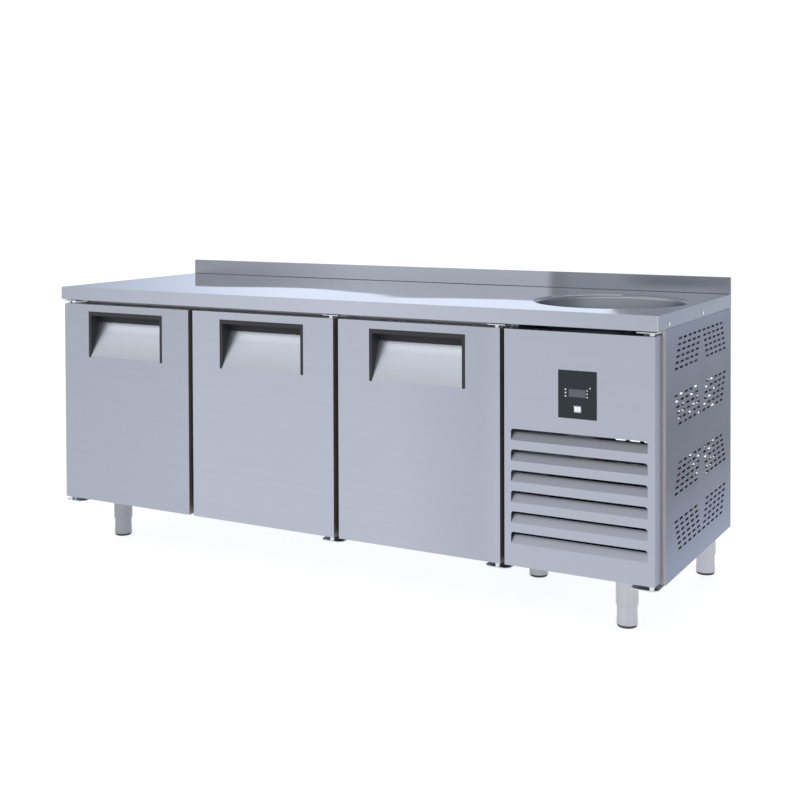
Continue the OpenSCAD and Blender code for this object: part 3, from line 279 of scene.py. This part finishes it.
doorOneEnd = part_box("door_1_skin")[1].x
bowlLow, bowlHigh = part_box("sink_bowl")
bowlCentre = (bowlLow + bowlHigh) / 2
looks = {
    # painted reflections: the worktop's tone is darker towards both ends of the counter
    "worktop_steel": steel("satin worktop", (0.48, 0.515, 0.6), "x", 0.3,
                           paintedLight=(0, [(-1.0, 0.8), (-0.4, 0.95), (0.1, 1.0), (0.5, 0.92), (1.0, 0.8)])),
    # painted reflections: the upstand is darker at its left end and drops sharply to a darker stretch from
    # about x = 0.43 m rightwards
    "upstand_steel": steel("satin upstand", (0.44, 0.465, 0.53), "x", 0.24,
                           paintedLight=(0, [(-1.0, 0.6), (-0.7, 0.7), (-0.3, 1.0), (0.41, 0.96), (0.435, 0.52),
                                      (0.46, 0.5), (0.5, 0.58), (0.75, 0.62), (0.9, 0.68), (1.0, 0.6)])),
    "seam_steel": steel("shaded seam", (0.1, 0.1, 0.12), "x", 0.4),
    # painted light: the pull plate is a much paler copy of the steel, brightest at its top and darker
    # towards its foot
    "plate_steel": steel("pull plate", (0.84, 0.89, 0.99), "x", 0.34,
                         paintedLight=(2, [(0.6, 0.47), (0.64, 0.48), (0.69, 0.54), (0.715, 0.78),
                                    (0.735, 1.02)])),
    # painted shade: the louvre blades are a darker copy of the steel, lighter low down and darker higher
    # up
    "louvre_steel": steel("louvre blade", (0.3, 0.31, 0.36), "x", 0.4,
                          paintedLight=(2, [(0.12, 1.14), (0.3, 1.0), (0.5, 0.72)])),
    "flange_steel": steel("bare flange", (0.7, 0.65, 0.64), "z", 0.6),
    "fold_steel": steel("door fold", (0.4, 0.36, 0.355), "z", 0.55),
    # painted shade: the right-facing sides of worktop and service door are a darker, bluer copy of the
    # steel
    "skirt_steel": steel("side skirt", (0.2, 0.243, 0.33), "y", 0.3),
    # painted highlight: a near-white copy of the steel for the front-right corners and the doors' top
    # returns
    "bright_fold": steel("bright fold", (0.98, 0.98, 1.0), "z", 0.5),
    "polished_top": steel("polished top", (0.86, 0.89, 0.95), "x", 0.035, 0.2, 0.014),
    "bowl_steel": turnedSteel("drawn bowl", (0.31, 0.33, 0.37), bowlCentre, 0.3),
    # painted reflections: door 1 is darker, door 2 and the left of door 3 brighter, the rest darker again
    "door_steel": steel("door sheet", (0.44, 0.47, 0.55), "x", 0.34,
                        paintedLight=(0, [(-1.0, 0.84), (doorOneEnd, 0.88), (doorOneEnd + 0.01, 0.97),
                                   (0.25, 0.97), (0.5, 0.86), (0.56, 0.92), (1.0, 0.9)])),
    # painted reflections and shade: the side sheet is a darker, bluer copy of the steel, brighter near the
    # floor and darkest at mid height
    "side_steel": steel("side sheet", (0.19, 0.236, 0.36), "y", 0.36,
                        paintedLight=(2, [(0.1, 1.12), (0.25, 0.7), (0.4, 0.36), (0.55, 0.36), (0.72, 0.6),
                                   (0.82, 0.8)])),
    # painted shade: the frame seen through the door gaps is a dark copy of the steel, with a painted light
    # band just under the worktop
    "frame_steel": steel("frame sheet", (0.19, 0.185, 0.2), "x", 0.4,
                         paintedLight=(2, [(0.74, 1.0), (0.765, 2.3)])),
    "liner_steel": steel("satin liner", (0.62, 0.64, 0.68), "x", 0.38),
    "hinge_steel": steel("hinge plate", (0.66, 0.68, 0.72), "x", 0.28),
    # painted reflections: strong streaks along the tubes, and the left feet darker than the right ones
    "foot_steel": steel("foot tube", (0.46, 0.475, 0.52), "z", 0.2, 6.0,
                        paintedLight=(0, [(-0.95, 0.62), (0.4, 0.66), (0.8, 1.0)])),
    "screw_steel": steel("screw head", (0.78, 0.79, 0.82), "x", 0.16),
    "coated_wire": steel("shelf wire", (0.78, 0.79, 0.82), "y", 0.18),
    "chromed_brass": steel("chromed waste", (0.76, 0.77, 0.8), "z", 0.12),
    "galvanised_steel": galvanised("galvanised sheet", (0.5, 0.52, 0.56)),
    "foam": foam("rigid foam", (0.82, 0.74, 0.46)),
    "gasket_rubber": rubber("door gasket", (0.11, 0.088, 0.082)),
    "handle_plastic": plastic("handle plastic", (0.024, 0.024, 0.028), 0.6, 0.3, 0.0, 0.35),
    "black_plastic": plastic("black plastic", (0.022, 0.022, 0.024), 0.5),
    "fan_plastic": plastic("fan plastic", (0.03, 0.031, 0.034), 0.4),
    "control_plastic": plastic("control plastic", (0.012, 0.016, 0.022), 0.45, 0.1, 0.0, 0.3),
    "display_plastic": plastic("display window", (0.066, 0.073, 0.098), 0.3, 0.05, 0.15),
    "lit_plastic": litRocker("lit rocker", (0.64, 0.7, 0.83), 0.24, *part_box("rocker_switch")),
    "key_plastic": plastic("pale keys", (0.55, 0.57, 0.62), 0.4),
    "white_plastic": plastic("white hose", (0.74, 0.75, 0.76), 0.45),
    "grey_plastic": plastic("grey box", (0.18, 0.19, 0.21), 0.5),
    "black_enamel": enamel("black enamel", (0.012, 0.012, 0.013)),
    "motor_enamel": enamel("motor enamel", (0.05, 0.05, 0.055), 0.4),
    "black_fins": galvanised("black fins", (0.05, 0.052, 0.056)),
    "fin_aluminium": galvanised("plain fins", (0.72, 0.74, 0.77)),
    "copper": copper("copper tube", (0.62, 0.3, 0.19)),
    "pad_rubber": rubber("foot pad", (0.018, 0.018, 0.019)),
}
print("materials made:", len(looks))


def build(bm, name, node, slot=None, extra=()):  # makes the finished piece that replaces a node
    data = bpy.data.meshes.new(name)
    bm.to_mesh(data)
    bm.free()
    if "custom_normal" in data.attributes:
        data.attributes.remove(data.attributes["custom_normal"])
    piece = bpy.data.objects.new(name, data)
    bpy.context.scene.collection.objects.link(piece)
    slot = slot or slotOf[node]
    data.materials.append(looks[slot])
    for other in extra:
        data.materials.append(looks[other])
    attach(piece, bodyOf[node])
    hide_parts(node)
    return piece


def pieceName(node):  # front_frame becomes frontFrame
    words = node.split("_")
    return words[0] + "".join(word.capitalize() for word in words[1:])


copySet = {  # metres, and degrees between the two faces of an edge
    "weld": 0.00001, "flatUnder": 0.5, "smoothUnder": 28, "cornerOver": 50,
}


def copyOf(node):  # the node's own shape, merged so that its edges can be rounded
    bm = bmesh.new()
    bm.from_mesh(nodes[node].data)
    bmesh.ops.remove_doubles(bm, verts=bm.verts, dist=copySet["weld"])
    bmesh.ops.dissolve_limit(bm, angle_limit=math.radians(copySet["flatUnder"]), verts=bm.verts,
                             edges=bm.edges)
    smoothUnder = math.radians(copySet["smoothUnder"])
    for face in bm.faces:
        face.smooth = False
    for edge in bm.edges:  # curved walls are smooth, corners are not
        if edge.is_manifold:
            angle = edge.calc_face_angle()
            edge.smooth = angle < smoothUnder
            if 0.01 < angle < smoothUnder:
                for face in edge.link_faces:
                    face.smooth = True
    return bm


def outward(edge):
    return (edge.is_manifold and edge.is_convex
            and edge.calc_face_angle() > math.radians(copySet["cornerOver"]))


def folded(edge, least=0.004):  # an outer corner between two wide faces, not the rim of a sheet
    if not outward(edge):
        return False
    return all(face.calc_area() > least * edge.calc_length() for face in edge.link_faces)


def roundEdges(bm, edges, radius, segments=3):
    made = bmesh.ops.bevel(bm, geom=list(edges), offset=radius, offset_type="OFFSET", segments=segments,
                           profile=0.5, affect="EDGES", material=-1, clamp_overlap=True)
    for face in made["faces"]:
        face.smooth = True


def roundedCopy(node, name, radius, test=outward, segments=3):
    bm = copyOf(node)
    roundEdges(bm, [edge for edge in bm.edges if test(edge)], radius, segments)
    return build(bm, name, node)


worktopSet = {"fold": 0.0016, "seam": 0.0014, "upstandDepth": 0.03, "upstandFoot": 0.003, "near": 0.0002}


def makeWorktop():
    bm = copyOf("worktop")
    surface = mountAt["worktop_surface"].z
    upstandFront = mountAt["upstand_back"].y - worktopSet["upstandDepth"]
    near = worktopSet["near"]

    def isSeam(edge):  # the inner corner at the foot of the upstand
        return (edge.is_manifold and not edge.is_convex and edge.calc_length() > 0.02
                and all(abs(vert.co.z - surface) < near for vert in edge.verts)
                and {round(abs(face.normal.z)) for face in edge.link_faces} == {0, 1}
                and all(vert.co.y > upstandFront for vert in edge.verts))

    seam = bmesh.ops.bevel(bm, geom=[edge for edge in bm.edges if isSeam(edge)], offset=worktopSet["seam"],
                           offset_type="OFFSET", segments=2, profile=0.5, affect="EDGES", material=-1,
                           clamp_overlap=True)
    for face in seam["faces"]:
        face.material_index = 2
    roundEdges(bm, [edge for edge in bm.edges if folded(edge)], worktopSet["fold"])
    for face in bm.faces:  # the flat top is polished, the folds are satin; the upstand carries painted reflections, the right side painted shade and the front-right corner a painted highlight
        middle = face.calc_center_median()
        if face.normal.z > 0.99 and abs(middle.z - surface) < near:
            face.material_index = 1
        elif middle.z > surface + worktopSet["upstandFoot"]:
            face.material_index = 3
        # the right-facing side takes painted shade
        elif face.normal.x > 0.95:
            face.material_index = 4
        elif face.normal.x > 0.2 and face.normal.y < -0.2:  # the corner between front and side, with a painted highlight
            face.material_index = 5
    return build(bm, "worktopSheet", "worktop", slot="worktop_steel",
                 extra=("polished_top", "seam_steel", "upstand_steel", "skirt_steel", "bright_fold"))


bowlSet = {"roll": 0.009, "flange": 0.012, "sheet": 0.001, "taper": 0.014, "corner": 0.045,
           "drain": 0.0279, "steps": 10, "around": 96, "wasteEdge": 0.0004}


def arcPoints(centre, radius, start, end, steps):
    turns = [math.radians(start + (end - start) * step / steps) for step in range(steps + 1)]
    return [(centre[0] + radius * math.cos(turn), centre[1] + radius * math.sin(turn)) for turn in turns]


def spun(points, centre, around):  # a profile of reaches and heights, turned round an upright axis
    bm = bmesh.new()
    ring = [bm.verts.new((centre.x + reach, centre.y, height)) for reach, height in points]
    edges = [bm.edges.new(pair) for pair in zip(ring, ring[1:])]
    bmesh.ops.spin(bm, geom=ring + edges, cent=(centre.x, centre.y, 0), axis=(0, 0, 1),
                   angle=math.tau, steps=around, use_merge=True)
    bmesh.ops.remove_doubles(bm, verts=bm.verts, dist=0.000002)
    bmesh.ops.recalc_face_normals(bm, faces=bm.faces)
    for face in bm.faces:
        face.smooth = True
    return bm


def makeBowl():
    low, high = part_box("sink_bowl")
    centre = (low + high) / 2
    hole = (high.x - low.x) / 2 - bowlSet["flange"]
    wall = hole - bowlSet["roll"]
    foot = wall - bowlSet["taper"] - bowlSet["corner"]
    floor = low.z + bowlSet["sheet"]
    points = [(hole + bowlSet["flange"], high.z)]
    points += arcPoints((hole, high.z - bowlSet["roll"]), bowlSet["roll"], 90, 180, bowlSet["steps"])
    points += arcPoints((foot, floor + bowlSet["corner"]), bowlSet["corner"], 0, -90, bowlSet["steps"])
    points += [(foot * 0.6, floor), (bowlSet["drain"], floor)]
    bm = spun(points, centre, bowlSet["around"])
    if max(bm.faces, key=lambda face: face.calc_area()).normal.z < 0:  # the floor has to face up
        bmesh.ops.reverse_faces(bm, faces=bm.faces)
    bmesh.ops.solidify(bm, geom=bm.faces, thickness=bowlSet["sheet"])
    return build(bm, "sinkBowl", "sink_bowl")


makeWorktop()
makeBowl()
roundedCopy("sink_waste", "sinkWaste", bowlSet["wasteEdge"])
print("worktop and sink made")


doorSet = {"fold": 0.0025, "leastFace": 0.02, "bend": 1.08, "bendSteps": 16, "strip": 0.01,
           "handleEdge": 0.0006, "panelFold": 0.0012, "near": 0.0001}


def bendPlate(bm, handle):  # the pull plate leaves the door's face in a curve, without a crease
    low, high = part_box(handle)
    start = low.z + doorSet["strip"] / 2
    inside = [face for face in bm.faces if low.x < face.calc_center_median().x < high.x
              and low.z < face.calc_center_median().z < high.z
              and abs(face.normal.z) > 0.08 and abs(face.normal.y) > 0.5]
    plate = set(inside)
    for face in inside:
        for edge in face.edges:
            plate.update(other for other in edge.link_faces if abs(other.normal.x) > 0.9)
    corners = {vert for face in inside for vert in face.verts}
    stop = max(vert.co.z for vert in corners)
    front = min(vert.co.y for vert in corners)
    depth = min(vert.co.y for vert in corners if vert.co.z > stop - doorSet["near"]) - front
    for step in range(1, doorSet["bendSteps"]):
        height = start + (stop - start) * step / doorSet["bendSteps"]
        geom = set(plate)
        for face in plate:
            geom.update(face.edges)
            geom.update(face.verts)
        cut = bmesh.ops.bisect_plane(bm, geom=list(geom), dist=0.000001, plane_co=(0, 0, height),
                                     plane_no=(0, 0, 1))
        plate = {part for part in cut["geom"] if isinstance(part, bmesh.types.BMFace)}
    for vert in {vert for face in plate for vert in face.verts}:
        share = (vert.co.z - start) / (stop - start)
        if 0 < share < 1 and vert.co.y > front + 0.00001:
            vert.co.y += depth * (share ** doorSet["bend"] - share)
    for face in plate:
        face.smooth = abs(face.normal.z) > 0.001 and abs(face.normal.y) > 0.5
        # the sloping plate faces take the pull plate's painted light
        if face.smooth:
            face.material_index = 1
            for edge in face.edges:
                edge.smooth = edge.calc_face_angle(0) < math.radians(20)


def makeDoors():
    for number in doorNumbers:
        node = f"door_{number}_skin"
        bm = copyOf(node)
        bendPlate(bm, f"door_{number}_handle")
        low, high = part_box(node)
        for face in bm.faces:
            if abs(face.normal.x) > 0.99 and min(abs(vert.co.x - side) for vert in face.verts
                                                 for side in (low.x, high.x)) < doorSet["near"]:
                face.material_index = 2
            # the door's top return takes a painted highlight
            elif face.normal.z > 0.99 and face.calc_center_median().z > high.z - doorSet["near"]:
                face.material_index = 3
        roundEdges(bm, [edge for edge in bm.edges if folded(edge, doorSet["leastFace"])], doorSet["fold"])
        build(bm, f"door{number}Sheet", node, extra=("plate_steel", "fold_steel", "bright_fold"))
        roundedCopy(f"door_{number}_handle", f"door{number}Handle", doorSet["handleEdge"],
                    lambda edge: outward(edge) and edge.calc_length() > 0.004, 2)
        roundedCopy(f"door_{number}_inner_panel", f"door{number}InnerPanel", doorSet["panelFold"], folded)


def makeServiceDoor():
    bm = copyOf("service_door")
    for face in bm.faces:  # the blades lean back into the door and take painted shade
        if 0.1 < abs(face.normal.z) < 0.95 and abs(face.normal.y) > 0.2:
            face.material_index = 1
    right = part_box("service_door")[1].x
    roundEdges(bm, [edge for edge in bm.edges if folded(edge, doorSet["leastFace"])], doorSet["fold"])
    for face in bm.faces:  # the side flange takes painted shade, then the fold beside it a painted highlight
        if face.normal.x > 0.95 and face.calc_center_median().x > right - 0.0005:
            face.material_index = 2
        elif 0.2 < face.normal.x < 0.95 and face.normal.y < -0.2:
            face.material_index = 3
    build(bm, "serviceDoorSheet", "service_door", extra=("louvre_steel", "skirt_steel", "bright_fold"))


controlSet = {"edge": 0.0005, "lampReach": 0.006, "rockerEdge": 0.0008, "keyEdge": 0.0002}


def makeControls():
    roundedCopy("control_plate", "controlPlate", controlSet["edge"])
    bm = copyOf("display_window")
    for face in bm.faces:  # the small round lamps are paler than the window
        if all(edge.calc_length() < controlSet["lampReach"] for edge in face.edges):
            face.material_index = 1
    build(bm, "displayWindow", "display_window", extra=("key_plastic",))
    roundedCopy("rocker_switch", "rockerSwitch", controlSet["rockerEdge"])
    for key in ("key_up", "key_set", "key_down"):
        roundedCopy(key, pieceName(key), controlSet["keyEdge"])


makeDoors()
makeServiceDoor()
makeControls()
print("doors made")


softSet = {  # radius of the outer corners of each copied node, and whether only its folds are rounded
    "right_panel": (0.0015, True), "left_panel": (0.0015, True), "rear_panel": (0.0015, True),
    "front_frame": (0.0012, True), "liner": (0.002, True), "mullions": (0.0015, True),
    "worktop_stiffeners": (0.0015, True), "top_bottom_panels": (0.001, True),
    "partition_panel": (0.001, True), "evaporator_cover": (0.0015, True),
    "condensate_trays": (0.0008, True), "shelf_ladders": (0.0008, True), "machine_base": (0.001, True),
    "hinge_brackets": (0.0006, False), "foot_sockets": (0.001, False),
    "control_box": (0.0012, False), "cable_gland": (0.0006, False), "service_magnet": (0.0008, False),
}


def makePanels():
    for node, (radius, foldsOnly) in softSet.items():
        panel = roundedCopy(node, pieceName(node), radius, folded if foldsOnly else outward, 2)
        if node == "right_panel":  # the front flange gets a paler, warmer tone
            panel.data.materials.append(looks["flange_steel"])
            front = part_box(node)[0].y
            for face in panel.data.polygons:
                if face.normal.y < -0.9 and face.center.y < front + 0.001:
                    face.material_index = 1


footSet = {"padTop": 0.007, "edge": 0.0008}


def makeFeet():
    for node in nodes:
        if node.startswith("foot_") and node != "foot_sockets":
            bm = copyOf(node)
            roundEdges(bm, [edge for edge in bm.edges if outward(edge)], footSet["edge"])
            for face in bm.faces:
                if max(vert.co.z for vert in face.verts) < footSet["padTop"]:
                    face.material_index = 1
            build(bm, pieceName(node), node, extra=("pad_rubber",))


makePanels()
makeFeet()
print("cabinet panels and feet made")


for name, node in nodes.items():  # the nodes that keep their own shape
    if node.hide_render:
        continue
    node.data.materials.clear()
    node.data.materials.append(looks[slotOf[name]])
print("materials given to the other nodes")


view = {
    "place": (1.9645, -3.3907, 1.1617),
    "pitch": 88.8, "roll": -0.2, "turn": 29.0,
    "lens": 56.94, "shift": (-0.00625, -0.238),
}


def makeCamera():
    data = bpy.data.cameras.new("camera")
    data.lens = view["lens"]
    data.shift_x, data.shift_y = view["shift"]
    camera = bpy.data.objects.new("camera", data)
    camera.location = view["place"]
    turns = [Matrix.Rotation(math.radians(view[key]), 3, axis)
             for key, axis in (("turn", "Z"), ("pitch", "X"), ("roll", "Z"))]
    camera.rotation_euler = (turns[0] @ turns[1] @ turns[2]).to_euler()
    bpy.context.scene.collection.objects.link(camera)
    bpy.context.scene.camera = camera


floorSet = {"size": 30, "glow": 0.86, "rough": 0.7, "tone": (0.2, 0.2, 0.205)}


def makeFloor():
    bm = bmesh.new()
    bmesh.ops.create_grid(bm, x_segments=2, y_segments=2, size=floorSet["size"])
    data = bpy.data.meshes.new("floor")
    bm.to_mesh(data)
    bm.free()
    look = Look("pale floor", Roughness=floorSet["rough"], Emission_Strength=floorSet["glow"])
    patch = look.noise(look.at(), 1.2, 3.0)
    look.set("Base Color", look.mix(floorSet["tone"], shade(floorSet["tone"], 1.05), patch))
    look.set("Emission Color", (1.0, 1.0, 1.0, 1.0))
    data.materials.append(look.material)
    floor = bpy.data.objects.new("floor", data)
    bpy.context.scene.collection.objects.link(floor)


def grey(level):
    return (level, level, level)


worldSet = {  # colours from straight down to straight up, behind the counter and in front of it
    "strength": 2.5,
    "behind": [(0.0, (0.28, 0.3, 0.34)), (0.46, (0.31, 0.34, 0.395)), (0.6, (0.31, 0.34, 0.395)),
               (0.78, grey(0.32)), (1.0, grey(0.3))],
    "farLeft": (0.14, 0.163, 0.205), "leftEdge": (-0.64, 0.1), "backEdge": (0.1, 0.3),
    "right": (0.14, 0.145, 0.155), "rightEdge": (0.1, 0.16), "rightBack": (-0.3, 0.3), "rightShare": 0.85,
    "backdrop": grey(0.9),
    "ahead": [(0.0, grey(0.28)), (0.5, grey(0.3)), (0.64, grey(0.44)), (0.76, grey(0.6)),
              (0.88, grey(0.45)), (1.0, grey(0.22))],
}


def makeWorld():
    world = bpy.data.worlds.new("studio")
    world.use_nodes = True
    bpy.context.scene.world = world
    tree = Tree(world.node_tree)
    way = tree.node("ShaderNodeTexCoord", out=0)
    x, y, z = tree.axes(way)
    height = z * 0.5 + 0.5
    behind = tree.node("ShaderNodeValToRGB", {"stops": worldSet["behind"]}, {0: height})
    ahead = tree.node("ShaderNodeValToRGB", {"stops": worldSet["ahead"]}, {0: height})
    behind = tree.mix(worldSet["farLeft"], behind, x.above(*worldSet["leftEdge"]))
    colour = tree.mix(ahead, behind, y.above(*worldSet["backEdge"]))
    right = x.above(*worldSet["rightEdge"]) * y.above(*worldSet["rightBack"])
    colour = tree.mix(colour, worldSet["right"], right * worldSet["rightShare"])
    seen = tree.node("ShaderNodeLightPath")
    colour = tree.mix(colour, worldSet["backdrop"], seen)  # the backdrop itself is plain white
    backdrop = world.node_tree.nodes["Background"]
    world.node_tree.links.new(colour.socket, backdrop.inputs["Color"])
    backdrop.inputs["Strength"].default_value = worldSet["strength"]


lampSet = {"place": Vector((0.3, -0.6, 4.2)), "aim": Vector((0, -0.3, 0)), "size": (3.5, 2.5), "power": 70}


def makeLamp():
    data = bpy.data.lights.new("overhead", "AREA")
    data.shape = "RECTANGLE"
    data.size, data.size_y = lampSet["size"]
    data.energy = lampSet["power"]
    lamp = bpy.data.objects.new("overhead", data)
    lamp.location = lampSet["place"]
    lamp.visible_glossy = False  # its outline would show in the polished top
    lamp.rotation_euler = (lampSet["aim"] - lampSet["place"]).to_track_quat("-Z", "Y").to_euler()
    bpy.context.scene.collection.objects.link(lamp)


bpy.context.scene.view_settings.view_transform = "Standard"
makeCamera()
makeFloor()
makeWorld()
makeLamp()
print("stage ready")
